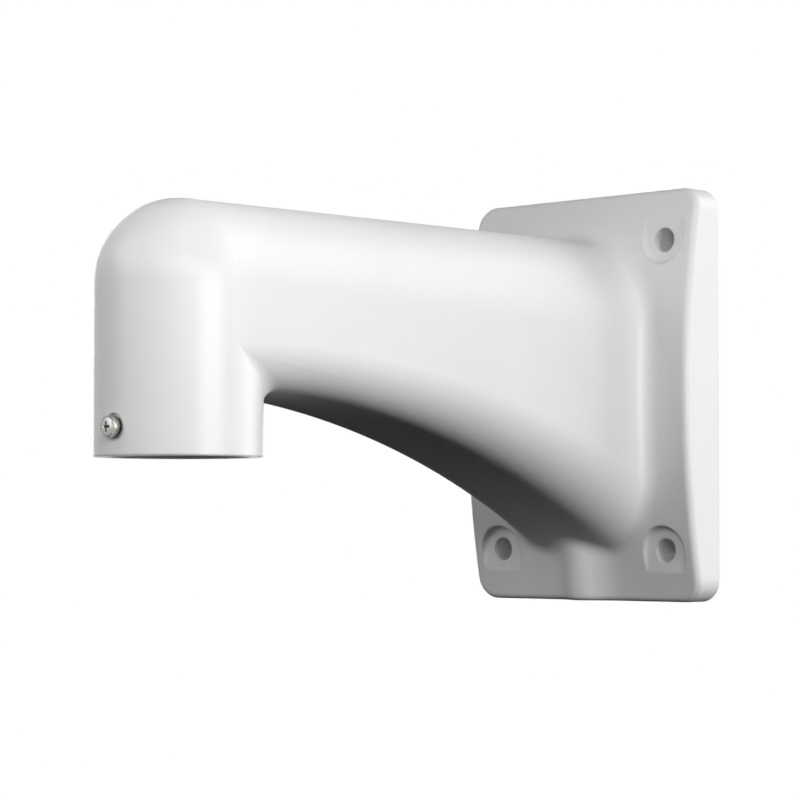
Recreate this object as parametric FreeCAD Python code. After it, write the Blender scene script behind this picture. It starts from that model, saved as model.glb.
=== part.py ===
import FreeCAD, Part
import os
from math import asin, atan2, cos, degrees, radians, sin, sqrt, tan

# The wall is the plane Y = 0 and the bracket reaches out along -Y, with +Z up.
# The origin lies on the wall, in the middle of the four screw holes.

# Wall plate
plate_height = 165.0
plate_width = 118.6
plate_edge = 12.0
plate_crown = 21.0
plate_corner_r = 9.0
plate_edge_r = 2.4
shell = 4.0

# Wall screws and their pockets
hole_spacing_x = 87.4
hole_spacing_z = 124.0
hole_r = 4.85
pocket_depth = 1.55
pocket_fade = 8.8
pocket_floor_r = 10.1
pocket_shift = 1.3
pocket_slope = 70.0
pocket_blend_r = 1.5
boss_r = 10.5

# Cable hump below the arm, and the cable notch that it makes room for
hump_height = 6.5
hump_crest_r = 11.0
hump_blend_r = 19.0
hump_slope = 33.0
notch_width = 18.0
notch_depth = 14.0

# Head with its pipe socket
reach = 233.0
head_r = 30.0
head_top = 64.0
head_bottom = -28.0
head_rim_chamfer = 0.3
thread_r = 23.9
thread_length = 24.0
thread_chamfer = 1.6

# Arm
arm_root_half = 38.6
arm_flat_half = 16.0
arm_depth = 66.6
arch_drop = 56.6
head_blend_r = 6.0
plate_blend_r = 6.5
arm_wall = 4.0
arm_chamfer = 11.0

# Ribs behind the plate
rib_thickness = 3.0
rib_spacing = 50.0
rib_setback = 3.0

# Lock screw
screw_drop = 10.0
screw_head_r = 3.95
screw_head_height = 4.4
screw_crown_r = 7.6
screw_shank_r = 1.95
screw_clearance = 0.1
screw_tip_gap = 0.8
spotface_r = 4.75
spotface_depth = 0.9
cross_width = 0.9
cross_length = 3.4
cross_depth = 1.5

overlap = 5.0


def vec(x, y, z):
    return FreeCAD.Vector(x, y, z)


def line(a, b):
    return Part.makeLine(a, b)


def round_corner(a, middle, b):
    # Quarter circle inside the square corner a, middle, b.
    centre = a + b - middle
    return Part.Arc(a, centre + (middle - centre) * sqrt(0.5), b).toShape()


def join(solids):
    return solids[0].fuse(solids[1:])


def edges_between(shape, first, second):
    # The edges of the shape that lie on the skins of both solids.
    found = []
    for edge in shape.Edges:
        start, end = edge.ParameterRange
        near = True
        for share in (0.1, 0.5, 0.9):
            spot = Part.Vertex(edge.valueAt(start + share * (end - start)))
            for solid in (first, second):
                if spot.distToShape(solid.Shells[0])[0] > 0.003:
                    near = False
        if near:
            found.append(edge)
    return found


# Plate

def plate_prism(inset, behind, depth):
    half_x = plate_width / 2 - inset
    half_z = plate_height / 2 - inset
    r = plate_corner_r - inset
    edges = []
    for sx, sz in ((1, 1), (-1, 1), (-1, -1), (1, -1)):
        before = vec(sx * half_x, 0, sz * (half_z - r))
        after = vec(sx * (half_x - r), 0, sz * half_z)
        tip = vec(sx * half_x, 0, sz * half_z)
        if sx * sz < 0:
            before, after = after, before
        edges.append(round_corner(before, tip, after))
    sides = []
    for k in range(4):
        end = edges[k].valueAt(edges[k].LastParameter)
        start = edges[(k + 1) % 4].valueAt(edges[(k + 1) % 4].FirstParameter)
        sides.append(edges[k])
        sides.append(line(end, start))
    prism = Part.Face(Part.Wire(sides)).extrude(vec(0, -depth - behind, 0))
    prism.translate(vec(0, behind, 0))
    return prism


face_r = ((plate_height / 2) ** 2 + (plate_crown - plate_edge) ** 2) / (2 * (plate_crown - plate_edge))
face_axis_y = face_r - plate_crown
face_sweep = degrees(asin(plate_height / 2 / face_r)) + 3.0


def face_y(z):
    return face_axis_y - sqrt(face_r ** 2 - z ** 2)


def hump_profile(inset):
    # Half profile of the hump from its crest to the face, with the radii moved in by the inset.
    slope = radians(hump_slope)
    crest_r = hump_crest_r - inset
    blend_r = hump_blend_r + inset
    fall = (hump_crest_r + hump_blend_r) * (1 - cos(slope))
    flank = (hump_height - fall) / sin(slope)
    base = -plate_crown + inset
    p0 = vec(0, base - hump_height, 0)
    p1 = p0 + vec(crest_r * sin(slope), crest_r * (1 - cos(slope)), 0)
    p01 = p0 + vec(crest_r * sin(slope / 2), crest_r * (1 - cos(slope / 2)), 0)
    p2 = p1 + vec(flank * cos(slope), flank * sin(slope), 0)
    p3 = p2 + vec(blend_r * sin(slope), blend_r * (1 - cos(slope)), 0)
    p23 = vec(p3.x - blend_r * sin(slope / 2), p3.y - blend_r * (1 - cos(slope / 2)), 0)
    return p0, p01, p1, p2, p23, p3


def mirrored(p):
    return vec(-p.x, p.y, p.z)


def face_band(inset, hump):
    # Half of the plate's front skin, swept about the axis of its curve.
    half = plate_width / 2 + overlap
    back = overlap * 2
    left_back = vec(-half, back, 0)
    right_back = vec(half, back, 0)
    left = vec(-half, -plate_crown + inset, 0)
    right = vec(half, -plate_crown + inset, 0)
    if hump:
        p0, p01, p1, p2, p23, p3 = hump_profile(inset)
        m1, m2, m23, m3 = mirrored(p1), mirrored(p2), mirrored(p23), mirrored(p3)
        front = [line(left, m3),
                 Part.Arc(m3, m23, m2).toShape(),
                 line(m2, m1),
                 Part.Arc(m1, p0, p1).toShape(),
                 line(p1, p2),
                 Part.Arc(p2, p23, p3).toShape(),
                 line(p3, right)]
    else:
        front = [line(left, right)]
    edges = front + [line(right, right_back), line(right_back, left_back), line(left_back, left)]
    face = Part.Face(Part.Wire(edges))
    angle = face_sweep if hump else -face_sweep
    return face.revolve(vec(0, face_axis_y, 0), vec(1, 0, 0), angle)


def plate_solid(inset, behind):
    bands = join([face_band(inset, True), face_band(inset, False)])
    prism = plate_prism(inset, behind, plate_crown + hump_height + overlap)
    return prism.common(bands)


def plate_front_edges(shape, prism_skin):
    found = []
    for edge in shape.Edges:
        start, end = edge.ParameterRange
        ends = [edge.valueAt(start + share * (end - start)) for share in (0.02, 0.5, 0.98)]
        across = max(abs(ends[0].x - ends[2].x), abs(ends[0].z - ends[2].z))
        on_skin = max(Part.Vertex(p).distToShape(prism_skin)[0] for p in ends) < 0.003
        if on_skin and across > 0.01 and max(p.y for p in ends) < -plate_edge / 2:
            found.append(edge)
    return found


# Arm and head

# The arm's round top is a cone about the line from the dome's centre down to the wall, with its
# upper side level. It wraps the dome, tucked in by a hair so that the two meet in a clean line.
tuck = 0.1
dome_z = head_top - head_r
arch_top = head_top - arm_depth
arch_span = reach - plate_crown
arch_r = (arch_span ** 2 + arch_drop ** 2) / (2 * arch_drop)
cone_angle = atan2(arm_root_half - head_r, arch_span)
arm_axis = vec(0, cos(cone_angle), -sin(cone_angle))
arm_start = -reach - head_r * sin(cone_angle) * cos(cone_angle)
arm_end = -plate_edge / 2


def cone_r(y, inset):
    return (head_r - inset - tuck + (y + reach) * tan(cone_angle)) / cos(cone_angle)


def axis_z(y):
    return dome_z - (y + reach) * tan(cone_angle)


def arm_upper(inset):
    start = vec(0, arm_start, axis_z(arm_start))
    end = vec(0, arm_end, axis_z(arm_end))
    start_out = start + vec(cone_r(arm_start, inset), 0, 0)
    end_out = end + vec(cone_r(arm_end, inset), 0, 0)
    corners = [start, start_out, end_out, end, start]
    return Part.Face(Part.makePolygon(corners)).revolve(start, arm_axis, -180)


def arm_lower(inset):
    # Side profile with the arch, cut to the arm's widening plan.
    bow = arch_r + inset
    points = []
    for y in (arm_start, (arm_start + arm_end) / 2, arm_end):
        points.append(vec(0, y, arch_top - arch_r + sqrt(bow ** 2 - (y + reach) ** 2)))
    upper_start = vec(0, arm_start, axis_z(arm_start))
    upper_end = vec(0, arm_end, axis_z(arm_end))
    side = Part.Wire([Part.Arc(points[0], points[1], points[2]).toShape(), line(points[2], upper_end),
                      line(upper_end, upper_start), line(upper_start, points[0])])
    slab = Part.Face(side).extrude(vec(4 * arm_root_half, 0, 0))
    slab.translate(vec(-2 * arm_root_half, 0, 0))
    low = points[2].z - 1
    start_r = cone_r(arm_start, inset)
    end_r = cone_r(arm_end, inset)
    plan = [vec(-start_r, arm_start, low), vec(start_r, arm_start, low), vec(end_r, arm_end, low),
            vec(-end_r, arm_end, low), vec(-start_r, arm_start, low)]
    wedge = Part.Face(Part.makePolygon(plan)).extrude(vec(0, 0, head_top - low))
    return slab.common(wedge)


def arch_edges(solid):
    # The two long lower edges, where the arch meets the sides.
    return [edge for edge in solid.Edges
            if edge.BoundBox.YLength > reach / 2 and edge.CenterOfMass.z < arch_top]


def arm_solid(inset):
    lower = arm_lower(inset)
    if inset:
        lower = lower.makeChamfer(arm_chamfer, arch_edges(lower))
    else:
        start_corner = head_r - arm_flat_half
        end_corner = lower.BoundBox.XMax - arm_flat_half
        for side in (1, -1):
            edge = [e for e in arch_edges(lower) if e.CenterOfMass.x * side > 0][0]
            head_first = edge.valueAt(edge.FirstParameter).y < edge.valueAt(edge.LastParameter).y
            sizes = (start_corner, end_corner) if head_first else (end_corner, start_corner)
            lower = lower.makeFillet(sizes[0], sizes[1], [edge])
    return [lower, arm_upper(inset)]


def head_solid(inset, bottom, chamfer):
    r = head_r - inset
    top = vec(0, 0, head_top - inset)
    corners = [top, vec(0, 0, bottom), vec(r - chamfer, 0, bottom), vec(r, 0, bottom + chamfer),
               vec(r, 0, dome_z)]
    if not chamfer:
        corners.pop(2)
    edges = Part.makePolygon(corners).Edges + [round_corner(corners[-1], vec(r, 0, top.z), top)]
    head = Part.Face(Part.Wire(edges)).revolve(vec(0, 0, 0), vec(0, 0, 1), 360)
    head.rotate(vec(0, 0, 0), vec(0, 0, 1), -135)
    head.translate(vec(0, -reach, 0))
    return head


plate = plate_solid(0, 0)
skin = plate_prism(0, 0, 3 * plate_crown).Shells[0]
plate = plate.makeFillet(plate_edge_r, plate_front_edges(plate, skin))
arm = join(arm_solid(0))
head = head_solid(0, head_bottom, head_rim_chamfer)
body = join([plate, arm, head])
body = body.makeFillet(plate_blend_r, edges_between(body, arm, plate))

# The crease under the arm fades out where arm and head run into one plane, so its blend is
# made on the piece inside this window, which then goes back into its place.
window_half = head_r - 0.4
window_top = (dome_z + arch_top + head_r - arm_flat_half) / 2
window = Part.makeBox(2 * window_half, head_r + 4 * head_blend_r, window_top - head_bottom - 1,
                      vec(-window_half, -reach + 1, head_bottom + 1))
piece = body.common(window)
crease = edges_between(piece, arm, head)
piece = piece.makeFillet(head_blend_r, crease)
body = body.cut(window).fuse(piece)


# Inside

thread_top = head_bottom + thread_length
head_cavity_bottom = thread_top + head_r - arm_wall - thread_r
hole_spots = [(sx * hole_spacing_x / 2, sz * hole_spacing_z / 2, sz) for sx in (1, -1) for sz in (1, -1)]


# The floor of a pocket leans a little, so that it runs out level with the plate's curved face.
hole_z = hole_spacing_z / 2
floor_y = face_y(hole_z) + pocket_depth
floor_lean = (face_y(hole_z + pocket_fade) - floor_y) / pocket_fade
pocket_end = hole_z + pocket_shift - pocket_floor_r - 2 * pocket_depth
pocket_rise = floor_y - (hole_z - pocket_end) * floor_lean - face_y(pocket_end) + overlap / 10


def u_wire(r, rise):
    # U that opens upwards, at this height over the pocket's floor.
    bottom = vec(0, -rise, pocket_shift - r)
    left = vec(-r, -rise, pocket_shift)
    right = vec(r, -rise, pocket_shift)
    up = vec(0, 0, plate_height / 2 - hole_z + overlap)
    return Part.Wire([Part.Arc(left, bottom, right).toShape(), line(right, right + up),
                      line(right + up, left + up), line(left + up, left)])


def pocket(x, z, side):
    rim_r = pocket_floor_r + pocket_rise / tan(radians(pocket_slope))
    cutter = Part.makeLoft([u_wire(pocket_floor_r, 0), u_wire(rim_r, pocket_rise)], True, True)
    flat = [edge for edge in cutter.Edges if edge.BoundBox.YLength < 0.01]
    low = [edge for edge in flat if edge.BoundBox.YMax > -0.01 and edge.BoundBox.ZMin < hole_z - overlap]
    cutter = cutter.makeFillet(pocket_blend_r, low)
    cutter.rotate(vec(0, 0, 0), vec(1, 0, 0), -degrees(atan2(floor_lean, 1)))
    if side < 0:
        cutter = cutter.mirror(vec(0, 0, 0), vec(0, 0, 1))
    cutter.translate(vec(x, floor_y, z))
    return cutter


def along_y(r, x, z, near, far):
    return Part.makeCylinder(r, far - near, vec(x, -near, z), vec(0, -1, 0))


def boss(x, z, side):
    pillar = along_y(boss_r, x, z, 0, plate_crown)
    across = 1 if x > 0 else -1
    half = rib_thickness / 2
    up = Part.makeBox(rib_thickness, plate_crown, plate_height / 2 - abs(z), vec(x - half, -plate_crown,
                      z if side > 0 else -plate_height / 2))
    out = Part.makeBox(plate_width / 2 - abs(x), plate_crown, rib_thickness,
                       vec(x if across > 0 else -plate_width / 2, -plate_crown, z - half))
    return join([pillar, up, out])


def rib(side, z):
    # Rib from the arm's wall to the plate's rim, set back from the wall.
    length = plate_width / 2 - arm_root_half + arm_wall
    x = arm_root_half - arm_wall
    start = x if side > 0 else -x - length
    return Part.makeBox(length, plate_crown, rib_thickness,
                        vec(start, -plate_crown - rib_setback, z - rib_thickness / 2))


head_cavity = head_solid(arm_wall, head_cavity_bottom, 0)
cavity = join([plate_solid(shell, overlap), head_cavity] + arm_solid(arm_wall))
solids_left = [boss(*spot) for spot in hole_spots]
solids_left += [rib(side, z) for side in (1, -1) for z in (rib_spacing / 2, -rib_spacing / 2)]
cavity = cavity.cut(solids_left)

bore_section = [vec(0, 0, head_bottom - 1),
                vec(thread_r + thread_chamfer + 1, 0, head_bottom - 1),
                vec(thread_r, 0, head_bottom + thread_chamfer),
                vec(thread_r, 0, thread_top),
                vec(head_r - arm_wall, 0, head_cavity_bottom),
                vec(0, 0, head_cavity_bottom)]
bore = Part.Face(Part.makePolygon(bore_section + bore_section[:1])).revolve(vec(0, 0, 0), vec(0, 0, 1), 360)
bore.translate(vec(0, -reach, 0))

notch_r = notch_width / 2
notch_end = -(notch_depth - notch_r)
notch_z = -plate_height / 2 - 1
notch_wire = Part.Wire([Part.Arc(vec(-notch_r, notch_end, notch_z), vec(0, -notch_depth, notch_z),
                                 vec(notch_r, notch_end, notch_z)).toShape(),
                        line(vec(notch_r, notch_end, notch_z), vec(notch_r, 1, notch_z)),
                        line(vec(notch_r, 1, notch_z), vec(-notch_r, 1, notch_z)),
                        line(vec(-notch_r, 1, notch_z), vec(-notch_r, notch_end, notch_z))])
notch = Part.Face(notch_wire).extrude(vec(0, 0, shell + 2))

screw_z = head_bottom + screw_drop
screw_seat = reach + head_r - spotface_depth
screw_length = head_r - spotface_depth - thread_r - screw_tip_gap
spotface = along_y(spotface_r, 0, screw_z, screw_seat, reach + head_r + 1)
screw_hole = along_y(screw_shank_r + screw_clearance, 0, screw_z, reach, screw_seat + 1)

cuts = [cavity, bore, notch, spotface, screw_hole]
cuts += [pocket(*spot) for spot in hole_spots]
cuts += [along_y(hole_r, x, z, -1, plate_crown + 1) for x, z, side in hole_spots]
body = body.cut(cuts)


# Lock screw

def lock_screw():
    edge_height = screw_head_height - screw_crown_r + sqrt(screw_crown_r ** 2 - screw_head_r ** 2)
    bend = screw_head_r / 2
    bend_height = screw_head_height - screw_crown_r + sqrt(screw_crown_r ** 2 - bend ** 2)
    top = vec(0, 0, screw_head_height)
    rim = vec(screw_head_r, 0, edge_height)
    edges = [Part.Arc(top, vec(bend, 0, bend_height), rim).toShape(),
             line(rim, vec(screw_head_r, 0, 0)),
             line(vec(screw_head_r, 0, 0), vec(screw_shank_r, 0, 0)),
             line(vec(screw_shank_r, 0, 0), vec(screw_shank_r, 0, -screw_length)),
             line(vec(screw_shank_r, 0, -screw_length), vec(0, 0, -screw_length)),
             line(vec(0, 0, -screw_length), top)]
    screw = Part.Face(Part.Wire(edges)).revolve(vec(0, 0, 0), vec(0, 0, 1), 360)
    for long_x, long_y in ((cross_length, cross_width), (cross_width, cross_length)):
        slot = Part.makeBox(long_x, long_y, cross_depth + 1,
                            vec(-long_x / 2, -long_y / 2, screw_head_height - cross_depth))
        screw = screw.cut(slot)
    screw.rotate(vec(0, 0, 0), vec(1, 0, 0), 90)
    screw.translate(vec(0, -screw_seat, screw_z))
    return screw


os.makedirs("parts", exist_ok=True)
for name, solid in (("bracket_body", body), ("lock_screw", lock_screw())):
    solid.exportStep("parts/" + name + ".step")
    print(name, solid.isValid(), len(solid.Solids), round(solid.Volume), solid.BoundBox)
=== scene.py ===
import bmesh
import bpy
from math import asin, cos, hypot, pi, radians, sin
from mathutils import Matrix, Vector


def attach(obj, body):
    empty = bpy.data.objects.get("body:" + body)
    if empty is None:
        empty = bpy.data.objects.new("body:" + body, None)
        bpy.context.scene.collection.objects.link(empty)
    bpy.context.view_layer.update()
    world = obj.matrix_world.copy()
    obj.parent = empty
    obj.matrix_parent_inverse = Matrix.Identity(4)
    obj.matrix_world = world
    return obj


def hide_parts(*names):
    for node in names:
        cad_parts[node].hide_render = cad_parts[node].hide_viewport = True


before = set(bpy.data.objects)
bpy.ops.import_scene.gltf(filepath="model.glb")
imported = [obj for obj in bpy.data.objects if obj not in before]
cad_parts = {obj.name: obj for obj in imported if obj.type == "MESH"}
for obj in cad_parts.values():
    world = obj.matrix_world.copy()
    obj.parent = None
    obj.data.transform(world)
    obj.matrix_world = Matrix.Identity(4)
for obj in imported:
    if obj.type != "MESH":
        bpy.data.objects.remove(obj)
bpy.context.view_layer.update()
print("frame loaded:", sorted(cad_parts))


# Tools for the shaders

class Signal:  # one output of a node, so that shader maths reads as plain expressions
    def __init__(self, tree, socket):
        self.tree = tree
        self.socket = socket

    def node(self, kind, settings, inputs, output=0):
        made = self.tree.nodes.new(kind)
        for name, value in settings.items():
            setattr(made, name, value)
        for name, value in inputs.items():
            if isinstance(value, Signal):
                self.tree.links.new(value.socket, made.inputs[name])
            else:
                made.inputs[name].default_value = value
        return Signal(self.tree, made.outputs[output])

    def calc(self, operation, first, second):
        return self.node("ShaderNodeMath", {"operation": operation}, {0: first, 1: second})

    def __add__(self, other):
        return self.calc("ADD", self, other)

    def __radd__(self, other):
        return self.calc("ADD", other, self)

    def __sub__(self, other):
        return self.calc("SUBTRACT", self, other)

    def __rsub__(self, other):
        return self.calc("SUBTRACT", other, self)

    def __mul__(self, other):
        return self.calc("MULTIPLY", self, other)

    def __rmul__(self, other):
        return self.calc("MULTIPLY", other, self)

    def root(self):
        return self.calc("SQRT", self, 0.0)

    def larger(self, other):
        return self.calc("MAXIMUM", self, other)

    def parts(self):  # the three parts of a place
        split = self.node("ShaderNodeSeparateXYZ", {}, {"Vector": self}).socket.node.outputs
        return [Signal(self.tree, split[name]) for name in ("X", "Y", "Z")]

    def between(self, low, high):  # 0 below low, 1 above high, soft between them
        return self.node("ShaderNodeMapRange", {"interpolation_type": "SMOOTHSTEP"},
                         {"Value": self, "From Min": low, "From Max": high})

    def tint(self, dark, light):  # colour from dark at 0 to light at 1
        return self.node("ShaderNodeMix", {"data_type": "RGBA"},
                         {"Factor": self, "A": (*dark, 1), "B": (*light, 1)}, 2)

    def noise(self, scale, detail=2.0, roughness=0.5):
        return self.node("ShaderNodeTexNoise", {},
                         {"Vector": self, "Scale": scale, "Detail": detail, "Roughness": roughness})


def startMaterial(name):
    # A new material with its object coordinates and its principled shader
    material = bpy.data.materials.new(name)
    material.use_nodes = True
    tree = material.node_tree
    shader = tree.nodes["Principled BSDF"]
    place = Signal(tree, tree.nodes.new("ShaderNodeTexCoord").outputs["Object"])
    return material, shader, place


def feed(shader, name, value):
    if isinstance(value, Signal):
        value.tree.links.new(value.socket, shader.inputs[name])
    else:
        shader.inputs[name].default_value = value


# Finishes

powderCoat = {
    "shade": (0.80, 0.80, 0.805),
    "brightShade": (0.83, 0.83, 0.83),
    "mottleScale": 14.0,      # slow change of shade, per metre
    "mottleLow": 0.3,
    "mottleHigh": 0.7,
    "specular": 0.06,
    "roughness": 0.8,
    "roughnessSpread": 0.06,
    "grainRoughness": 0.05,
    "peelScale": 700.0,       # waves of the coat, per metre
    "peelDetail": 1.0,
    "grainScale": 2600.0,
    "grainShare": 0.35,
    "peelHeight": 0.00002,
    "edgeSoft": 0.0012,       # the coat rounds every sharp edge a little
    "headGloss": 0.95,        # sheen on the head, the arm's sides and the plate's rim, but not
    "armGloss": 0.6,          # on the top, under the arch and on the plate's face
    "rimGloss": 0.95,
    "glossRoughness": 0.36,
    "headAxis": -0.233,
    "headRadius": 0.0302,
    "headFade": 0.003,
    "archAxis": -0.428,
    "archRadius": 0.4293,
    "archFade": 0.012,
    "topStart": 0.056,
    "topEnd": 0.063,
    "plateFace": -0.0212,
    "plateFade": 0.002,
    "plateRim": 0.0592,
}


def makePowderCoat(p):
    material, shader, place = startMaterial("whitePowderCoat")
    mottle = place.noise(p["mottleScale"])
    peel = place.noise(p["peelScale"], p["peelDetail"])
    grain = place.noise(p["grainScale"])
    patches = mottle.between(p["mottleLow"], p["mottleHigh"])
    feed(shader, "Base Color", patches.tint(p["shade"], p["brightShade"]))
    feed(shader, "Specular IOR Level", p["specular"])
    across, along, upright = place.parts()
    fromHead = along - p["headAxis"]
    onHead = 1 - (across * across + fromHead * fromHead).root().between(
        p["headRadius"], p["headRadius"] + p["headFade"])
    fromArch = upright - p["archAxis"]
    overArch = (fromHead * fromHead + fromArch * fromArch).root().between(
        p["archRadius"], p["archRadius"] + p["archFade"])
    offPlate = 1 - along.between(p["plateFace"] - p["plateFade"], p["plateFace"])
    onRim = (across * across).between((p["plateRim"] - p["plateFade"]) ** 2, p["plateRim"] ** 2)
    onArm = overArch * offPlate
    belowTop = 1 - upright.between(p["topStart"], p["topEnd"])
    sheen = (p["headGloss"] * onHead).larger(p["armGloss"] * onArm) * belowTop
    feed(shader, "Coat Weight", sheen.larger(p["rimGloss"] * onRim))
    feed(shader, "Coat Roughness", p["glossRoughness"])
    feed(shader, "Roughness", p["roughness"] + p["roughnessSpread"] * (mottle - 0.5)
         + p["grainRoughness"] * (grain - 0.5))
    height = peel + p["grainShare"] * grain
    rounded = place.node("ShaderNodeBevel", {"samples": 4}, {"Radius": p["edgeSoft"]})
    feed(shader, "Normal", height.node("ShaderNodeBump", {}, {
        "Height": height, "Distance": p["peelHeight"], "Strength": 1.0, "Normal": rounded}))
    return material


platedSteel = {
    "shade": (0.33, 0.318, 0.302),
    "brightShade": (0.42, 0.408, 0.388),
    # colour of the painted shade in the recess and under the head, and of the painted dark reflection on the
    # rim
    "paintedShadeColour": (0.10, 0.097, 0.093),
    "roughness": 0.36,
    "roughnessSpread": 0.12,
    "scuffScale": 1100.0,     # fine scuffs, per metre
    "scuffDetail": 3.0,
    "scuffLow": 0.35,
    "scuffHigh": 0.65,
    "scuffHeight": 0.0000015,
    "axisUp": -0.018,         # the screw's axis
    "recessRadius": 0.002,
    "crownFace": -0.2661,     # the cross recess gets painted shade behind this
    "seatFace": -0.2633,      # painted shade behind this, down to the seat, for the shadow in the gap under the head
    "paintedShadeBlend": 0.0002,
    "rimInner": 0.0029,       # a ring of painted dark reflection where the crown turns into the side
    "rimOuter": 0.0038,
    "rimFront": -0.2648,
    # patches that break the painted dark reflection on the rim into crescents
    "patchScale": 420.0,
    "patchDetail": 1.0,
    "patchLow": 0.38,
    "patchHigh": 0.55,
    "rimPaintedReflection": 0.8,
}


def makePlatedSteel(p):
    material, shader, place = startMaterial("platedSteel")
    scuff = place.noise(p["scuffScale"], p["scuffDetail"])
    across, along, upright = place.parts()
    above = upright - p["axisUp"]
    away = (across * across + above * above).root()
    blend = p["paintedShadeBlend"]
    # painted shade: darker inside the cross recess
    inRecess = (1 - away.between(p["recessRadius"] - blend, p["recessRadius"])) * along.between(
        p["crownFace"], p["crownFace"] + 2 * blend)
    # painted shade: darker from the seat face back to the seat
    nearSeat = along.between(p["seatFace"] - blend, p["seatFace"] + blend)
    # painted dark reflection: a ring round the rim, broken into patches
    onRim = away.between(p["rimInner"], p["rimInner"] + 2 * blend) * (
        1 - away.between(p["rimOuter"] - blend, p["rimOuter"])) * (
        1 - along.between(p["rimFront"] - blend, p["rimFront"]))
    patches = place.noise(p["patchScale"], p["patchDetail"]).between(p["patchLow"], p["patchHigh"])
    # painted shade in the cross recess and in the gap under the head, and a patchy painted dark reflection
    # round the rim
    paintedShade = (p["rimPaintedReflection"] * onRim * patches).larger(inRecess).larger(nearSeat)
    plating = scuff.between(p["scuffLow"], p["scuffHigh"]).tint(p["shade"], p["brightShade"])
    feed(shader, "Base Color", paintedShade.node("ShaderNodeMix", {"data_type": "RGBA"}, {
        "Factor": paintedShade, "A": plating, "B": (*p["paintedShadeColour"], 1)}, 2))
    feed(shader, "Metallic", 1.0)
    feed(shader, "Roughness", p["roughness"] + p["roughnessSpread"] * (scuff - 0.5))
    feed(shader, "Normal", scuff.node("ShaderNodeBump", {}, {
        "Height": scuff, "Distance": p["scuffHeight"], "Strength": 1.0}))
    return material


whitePowderCoat = makePowderCoat(powderCoat)
screwSteel = makePlatedSteel(platedSteel)
for nodeName, material in (("bracket_body", whitePowderCoat), ("lock_screw", screwSteel)):
    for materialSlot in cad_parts[nodeName].material_slots:
        materialSlot.material = material
print("finishes made")


# Modelling

def startEdit(piece, kind):
    # Edit mode on this piece, with nothing selected
    bpy.ops.object.select_all(action="DESELECT")
    piece.select_set(True)
    bpy.context.view_layer.objects.active = piece
    bpy.ops.object.mode_set(mode="EDIT")
    bpy.ops.mesh.select_mode(type=kind)
    bpy.ops.mesh.select_all(action="DESELECT")


def pickVerts(piece, test):
    mesh = bmesh.from_edit_mesh(piece.data)
    for vert in mesh.verts:
        if test(vert.co):
            vert.select_set(True)
    mesh.select_flush(True)
    bmesh.update_edit_mesh(piece.data)


def pickFaces(piece, test):
    mesh = bmesh.from_edit_mesh(piece.data)
    for face in mesh.faces:
        if test(face.calc_center_median(), face.normal):
            face.select_set(True)
    bmesh.update_edit_mesh(piece.data)


def endEdit():
    bpy.ops.object.mode_set(mode="OBJECT")


def applyModifier(piece, kind, settings):
    modifier = piece.modifiers.new(kind.title(), kind)
    for name, value in settings.items():
        setattr(modifier, name, value)
    bpy.context.view_layer.objects.active = piece
    bpy.ops.object.modifier_apply(modifier=modifier.name)


def finishPiece(piece, name, material, smoothAngle):
    # Place goes into the mesh, then the piece gets its shading, finish, body and slot
    bpy.ops.object.select_all(action="DESELECT")
    piece.select_set(True)
    bpy.context.view_layer.objects.active = piece
    bpy.ops.object.transform_apply(location=True, rotation=True, scale=True)
    bpy.ops.object.shade_smooth_by_angle(angle=radians(smoothAngle))
    piece.name = name
    piece.data.materials.clear()
    piece.data.materials.append(material)
    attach(piece, "root")


def makeRidge(p):
    # A closed ridge that winds up a wall, from a plane cut to one tooth's section
    rootRadius = p["wallRadius"] + p["sink"]
    height = p["crestRadius"] - rootRadius
    bpy.ops.object.select_all(action="DESELECT")
    bpy.ops.mesh.primitive_plane_add(size=1, rotation=(pi / 2, 0, 0))
    ridge = bpy.context.object
    ridge.scale = (abs(height), p["pitch"] * p["rootShare"], 1)
    ridge.location = (rootRadius + height / 2, 0, p["start"])
    bpy.ops.object.transform_apply(location=True, rotation=True, scale=True)
    startEdit(ridge, "VERT")
    pickVerts(ridge, lambda at: abs(at.x - p["crestRadius"]) < abs(height) / 4)
    bpy.ops.transform.resize(value=(1, 1, p["crestShare"]), center_override=(p["crestRadius"], 0, p["start"]))
    bpy.ops.mesh.bevel(offset=p["crestSoft"], segments=p["crestSegments"], affect="VERTICES")
    bpy.ops.mesh.select_all(action="SELECT")
    bpy.ops.mesh.delete(type="ONLY_FACE")
    endEdit()
    corners = len(ridge.data.vertices)
    applyModifier(ridge, "SCREW", {
        "axis": "Z", "angle": 2 * pi, "screw_offset": p["pitch"], "iterations": p["turns"],
        "steps": p["steps"], "render_steps": p["steps"], "use_merge_vertices": False})
    # The first and last stretch run out into the wall
    last = len(ridge.data.vertices) // corners - 1
    fade = p["steps"] * p["fadeTurns"]
    for number, vert in enumerate(ridge.data.vertices):
        ring = number // corners
        share = max(p["endShare"], min(1.0, ring / fade, (last - ring) / fade))
        radius = hypot(vert.co.x, vert.co.y)
        factor = (rootRadius + (radius - rootRadius) * share) / radius
        vert.co.x *= factor
        vert.co.y *= factor
    startEdit(ridge, "EDGE")
    bpy.ops.mesh.select_all(action="SELECT")
    bpy.ops.mesh.fill_holes(sides=corners)
    bpy.ops.mesh.normals_make_consistent(inside=False)
    endEdit()
    return ridge


# Pipe thread in the head

pipeThread = {
    "wallRadius": 0.0239,
    "sink": 0.00015,
    "crestRadius": 0.02242,
    "pitch": 0.002309,
    "rootShare": 0.98,
    "crestShare": 0.3,
    "crestSoft": 0.0002,
    "crestSegments": 2,
    "start": -0.0252,
    "turns": 9,
    "steps": 120,
    "fadeTurns": 0.5,
    "endShare": 0.03,         # height that is left at both ends
    "smoothAngle": 40,
    "headAxis": (0, -0.233, 0),
}


def makePipeThread(p):
    thread = makeRidge(p)
    thread.location = p["headAxis"]
    finishPiece(thread, "pipeThread", whitePowderCoat, p["smoothAngle"])


# Lock screw

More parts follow.
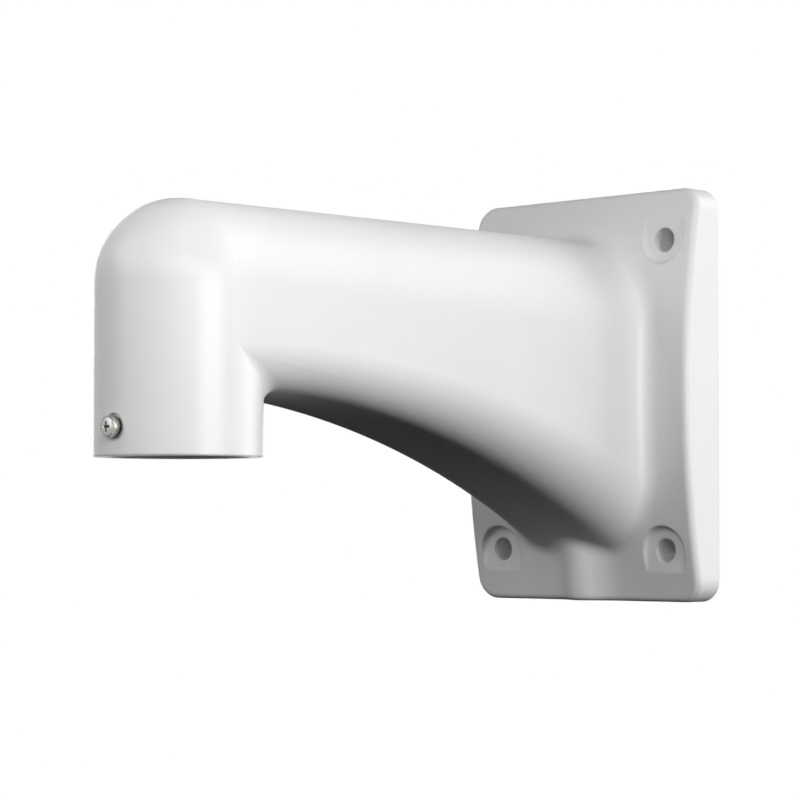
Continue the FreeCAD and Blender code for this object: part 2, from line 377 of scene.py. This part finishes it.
lockScrew = {
    "seat": (0, -0.2621, -0.018),
    "headRadius": 0.00395,
    "headHeight": 0.00439,
    "crownRadius": 0.012,
    "crownRings": 8,
    "rimSoft": 0.0011,
    "rimSegments": 7,
    "grooveRadius": 0.0036,   # undercut below the head
    "grooveHeight": 0.0012,
    "segments": 72,
    "crossLength": 0.0048,
    "crossWidth": 0.001,
    "crossDepth": 0.0017,
    "crossTaper": 0.55,       # of each slot's length, at its floor
    "crossNarrow": 0.85,      # and of its width
    "coreTop": 0.0008,        # cone where the slots cross
    "coreTip": 0.0003,
    "coreSides": 32,
    "edgeSoft": 0.00005,
    "edgeAngle": 35,
    "shankRadius": 0.0016,
    "shankLength": 0.0044,
    "tipSoft": 0.0004,
    "smoothAngle": 35,
    "sortPoint": (0.0123, 0.0045, 0.0331),
}
screwThread = {
    "wallRadius": 0.0016,
    "sink": -0.0001,
    "crestRadius": 0.00195,
    "pitch": 0.0007,
    "rootShare": 0.95,
    "crestShare": 0.25,
    "crestSoft": 0.00004,
    "crestSegments": 2,
    "start": -0.0038,
    "turns": 4,
    "steps": 48,
    "fadeTurns": 0.4,
    "endShare": 0.03,
}


def makeLockScrew(p):
    segments, radius, height = p["segments"], p["headRadius"], p["headHeight"]
    crownMiddle = height - p["crownRadius"]
    rimAngle = asin(radius / p["crownRadius"])
    rimHeight = crownMiddle + p["crownRadius"] * cos(rimAngle)
    bpy.ops.object.select_all(action="DESELECT")
    bpy.ops.mesh.primitive_circle_add(vertices=segments, radius=p["grooveRadius"], fill_type="NGON")
    screw = bpy.context.object
    startEdit(screw, "FACE")
    bpy.ops.mesh.select_all(action="SELECT")
    bpy.ops.mesh.extrude_region_move(TRANSFORM_OT_translate={"value": (0, 0, p["grooveHeight"])})
    bpy.ops.mesh.extrude_region_move(TRANSFORM_OT_translate={"value": (0, 0, 0)})
    share = radius / p["grooveRadius"]
    bpy.ops.transform.resize(value=(share, share, 1), center_override=(0, 0, p["grooveHeight"]))
    bpy.ops.mesh.extrude_region_move(TRANSFORM_OT_translate={"value": (0, 0, rimHeight - p["grooveHeight"])})
    # Rings of the crown, each a little smaller and higher
    ringRadius, ringHeight = radius, rimHeight
    for ring in range(1, p["crownRings"]):
        angle = rimAngle * (1 - ring / p["crownRings"])
        nextRadius = p["crownRadius"] * sin(angle)
        nextHeight = crownMiddle + p["crownRadius"] * cos(angle)
        bpy.ops.mesh.extrude_region_move(TRANSFORM_OT_translate={"value": (0, 0, nextHeight - ringHeight)})
        share = nextRadius / ringRadius
        bpy.ops.transform.resize(value=(share, share, 1), center_override=(0, 0, nextHeight))
        ringRadius, ringHeight = nextRadius, nextHeight
    bpy.ops.mesh.poke()
    # Shank out of the underside
    bpy.ops.mesh.select_all(action="DESELECT")
    pickFaces(screw, lambda middle, normal: abs(middle.z) < 1e-6 and abs(normal.z) > 0.9)
    bpy.ops.mesh.inset(thickness=p["grooveRadius"] - p["shankRadius"])
    bpy.ops.mesh.extrude_region_move(TRANSFORM_OT_translate={"value": (0, 0, -p["shankLength"])})
    bpy.ops.mesh.inset(thickness=p["tipSoft"])
    bpy.ops.mesh.select_all(action="SELECT")
    bpy.ops.mesh.normals_make_consistent(inside=False)
    # Soft rim
    bpy.ops.mesh.select_mode(type="VERT")
    bpy.ops.mesh.select_all(action="DESELECT")
    pickVerts(screw, lambda at: abs(at.z - rimHeight) < 1e-6)
    bpy.ops.mesh.select_mode(type="EDGE")
    bpy.ops.mesh.bevel(offset=p["rimSoft"], segments=p["rimSegments"], affect="EDGES")
    endEdit()
    # Cross recess with sloping ends
    cutters = []
    for long, wide in ((p["crossLength"], p["crossWidth"]), (p["crossWidth"], p["crossLength"])):
        bpy.ops.object.select_all(action="DESELECT")
        bpy.ops.mesh.primitive_cube_add(size=1, location=(0, 0, height))
        cutter = bpy.context.object
        cutter.scale = (long, wide, 2 * p["crossDepth"])
        bpy.ops.object.transform_apply(location=True, rotation=True, scale=True)
        startEdit(cutter, "FACE")
        pickFaces(cutter, lambda middle, normal: normal.z < -0.5)
        taper, narrow = p["crossTaper"], p["crossNarrow"]
        share = (taper, narrow, 1) if long > wide else (narrow, taper, 1)
        bpy.ops.transform.resize(value=share, center_override=(0, 0, height - p["crossDepth"]))
        endEdit()
        cutters.append(cutter)
    bpy.ops.object.select_all(action="DESELECT")
    bpy.ops.mesh.primitive_cone_add(vertices=p["coreSides"], radius1=p["coreTip"], radius2=p["coreTop"],
                                    depth=2 * p["crossDepth"], location=(0, 0, height))
    cutters.append(bpy.context.object)
    for cutter in cutters:
        applyModifier(screw, "BOOLEAN", {"object": cutter, "operation": "DIFFERENCE", "solver": "EXACT"})
        bpy.data.objects.remove(cutter)
    # The cuts leave a chance order, so it is sorted, and larger faces are split by one rule
    bpy.context.scene.cursor.location = p["sortPoint"]
    startEdit(screw, "FACE")
    bpy.ops.mesh.select_all(action="SELECT")
    bpy.ops.mesh.sort_elements(type="CURSOR_DISTANCE", elements={"VERT", "EDGE", "FACE"})
    endEdit()
    applyModifier(screw, "BEVEL", {"width": p["edgeSoft"], "segments": 2, "limit_method": "ANGLE",
                                   "angle_limit": radians(p["edgeAngle"])})
    applyModifier(screw, "TRIANGULATE", {"min_vertices": 5, "ngon_method": "BEAUTY"})
    # The thread joins the shank
    ridge = makeRidge(screwThread)
    bpy.ops.object.select_all(action="DESELECT")
    ridge.select_set(True)
    screw.select_set(True)
    bpy.context.view_layer.objects.active = screw
    bpy.ops.object.join()
    screw.rotation_euler = (pi / 2, 0, 0)
    screw.location = p["seat"]
    finishPiece(screw, "lockScrew", screwSteel, p["smoothAngle"])
    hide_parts("lock_screw")


makePipeThread(pipeThread)
makeLockScrew(lockScrew)
print("thread and lock screw modelled")


# Studio

studio = {
    "floorDrop": 2.0,
    "floorSize": 60.0,
    "floorShade": 0.01,
    "skyShade": 0.01,
}
lamps = {
    "behind": {"around": 165, "up": 15, "distance": 1.9, "size": 2.2, "power": 33.6, "aim": (0, -0.12, 0)},
    "back": {"around": 130, "up": 35, "distance": 1.9, "size": 2.2, "power": 1.7, "aim": (0, -0.12, 0)},
    "side": {"around": 97, "up": 5, "distance": 1.6, "size": 0.4, "power": 5.8, "aim": (0, -0.12, 0)},
    "sheen": {"around": 80, "up": 5, "distance": 1.6, "size": 0.4, "power": 7.1, "aim": (0, -0.12, 0)},
    "top": {"around": 60, "up": 65, "distance": 1.6, "size": 0.8, "power": 1.6, "aim": (0, -0.12, 0)},
    "left": {"around": -40, "up": 32, "distance": 1.6, "size": 0.8, "power": 3.7, "aim": (0, -0.12, 0)},
    "low": {"around": -20, "up": 16, "distance": 1.6, "size": 0.8, "power": 4.0, "aim": (0, -0.12, 0)},
    "fill": {"around": -130, "up": 10, "distance": 1.9, "size": 1.2, "power": 9.0, "aim": (0, -0.12, 0)},
    "front": {"around": 20, "up": 20, "distance": 0.7, "size": 0.3, "power": 0.48, "aim": (0, -0.12, 0)},
    "near": {"around": 60, "up": 20, "distance": 0.5, "size": 0.25, "power": 0.8, "aim": (0, -0.25, 0)},
}


def seenAsWhite(start, lit, white):
    # The camera, and what metal and glass show, sees plain white instead of the lit shader
    rays = start.node("ShaderNodeLightPath", {}, {}).socket.node.outputs
    camera, glossy, clear = [Signal(start.tree, rays[name])
                             for name in ("Is Camera Ray", "Is Glossy Ray", "Is Transmission Ray")]
    share = camera + glossy.larger(clear)
    return start.node("ShaderNodeMixShader", {}, {0: share, 1: lit, 2: white})


def makeFloor(p):
    bpy.ops.object.select_all(action="DESELECT")
    bpy.ops.mesh.primitive_plane_add(size=p["floorSize"], location=(0, 0, -p["floorDrop"]))
    floor = bpy.context.object
    floor.name = "studioFloor"
    bpy.ops.object.transform_apply(location=True, rotation=True, scale=True)
    material = bpy.data.materials.new("paleFloor")
    material.use_nodes = True
    tree = material.node_tree
    tree.nodes.remove(tree.nodes["Principled BSDF"])
    start = Signal(tree, tree.nodes.new("ShaderNodeTexCoord").outputs["Object"])
    matt = start.node("ShaderNodeBsdfDiffuse", {}, {"Color": (p["floorShade"],) * 3 + (1,)})
    white = start.node("ShaderNodeEmission", {}, {"Color": (1, 1, 1, 1), "Strength": 1.0})
    mixed = seenAsWhite(start, matt, white)
    tree.links.new(mixed.socket, tree.nodes["Material Output"].inputs["Surface"])
    floor.data.materials.append(material)


def makeSky(p):
    world = bpy.data.worlds.new("studioSky")
    bpy.context.scene.world = world
    world.use_nodes = True
    tree = world.node_tree
    tree.nodes.remove(tree.nodes["Background"])
    start = Signal(tree, tree.nodes.new("ShaderNodeTexCoord").outputs["Generated"])
    soft = start.node("ShaderNodeBackground", {}, {"Color": (1, 1, 1, 1), "Strength": p["skyShade"]})
    white = start.node("ShaderNodeBackground", {}, {"Color": (1, 1, 1, 1), "Strength": 1.0})
    mixed = seenAsWhite(start, soft, white)
    tree.links.new(mixed.socket, tree.nodes["World Output"].inputs["Surface"])


# Light stops: small grey discs behind the four screw holes, unseen by the camera, do the
# work of the wall, which keeps the back lamp's light out of the holes
lightStops = {
    "across": 0.0437,
    "upright": 0.062,
    "radius": 0.0054,
    "sides": 32,
    "behind": 0.0003,
    "shade": 0.4,
}


def makeLightStops(p):
    material = bpy.data.materials.new("greyStop")
    material.use_nodes = True
    tree = material.node_tree
    tree.nodes.remove(tree.nodes["Principled BSDF"])
    start = Signal(tree, tree.nodes.new("ShaderNodeTexCoord").outputs["Object"])
    matt = start.node("ShaderNodeBsdfDiffuse", {}, {"Color": (p["shade"],) * 3 + (1,)})
    clear = start.node("ShaderNodeBsdfTransparent", {}, {})
    seen = start.node("ShaderNodeLightPath", {}, {})
    mixed = start.node("ShaderNodeMixShader", {}, {0: seen, 1: matt, 2: clear})
    tree.links.new(mixed.socket, tree.nodes["Material Output"].inputs["Surface"])
    for x in (-p["across"], p["across"]):
        for z in (-p["upright"], p["upright"]):
            bpy.ops.object.select_all(action="DESELECT")
            bpy.ops.mesh.primitive_circle_add(vertices=p["sides"], radius=p["radius"], fill_type="NGON",
                                              location=(x, p["behind"], z), rotation=(pi / 2, 0, 0))
            stop = bpy.context.object
            stop.name = "lightStop"
            bpy.ops.object.transform_apply(location=True, rotation=True, scale=True)
            stop.data.materials.append(material)


def addLamp(name, p):
    around = radians(p["around"])
    up = radians(p["up"])
    aim = Vector(p["aim"])
    away = Vector((sin(around) * cos(up), -cos(around) * cos(up), sin(up)))
    light = bpy.data.lights.new(name + "Lamp", "AREA")
    light.shape = "DISK"
    light.size = p["size"]
    light.energy = p["power"]
    lamp = bpy.data.objects.new(name + "Lamp", light)
    bpy.context.scene.collection.objects.link(lamp)
    lamp.location = aim + away * p["distance"]
    lamp.rotation_euler = away.to_track_quat("Z", "Y").to_euler()


makeFloor(studio)
makeSky(studio)
makeLightStops(lightStops)
for lampName, lampSizes in lamps.items():
    addLamp(lampName, lampSizes)

view = {
    "place": (0.75287, -0.89114, -0.05258),
    "turn": 44.351,
    "tilt": 2.575,
    "lens": 126.868,          # mm, on this sensor width
    "sensor": 36.0,
    "nearest": 0.05,
}


def makeCamera(p):
    lens = bpy.data.cameras.new("productCamera")
    lens.lens = p["lens"]
    lens.sensor_width = p["sensor"]
    lens.clip_start = p["nearest"]
    camera = bpy.data.objects.new("productCamera", lens)
    bpy.context.scene.collection.objects.link(camera)
    camera.location = p["place"]
    camera.rotation_euler = (radians(90 + p["tilt"]), 0, radians(p["turn"]))
    bpy.context.scene.camera = camera


makeCamera(view)
bpy.context.scene.view_settings.view_transform = "Standard"
print("studio and camera set")
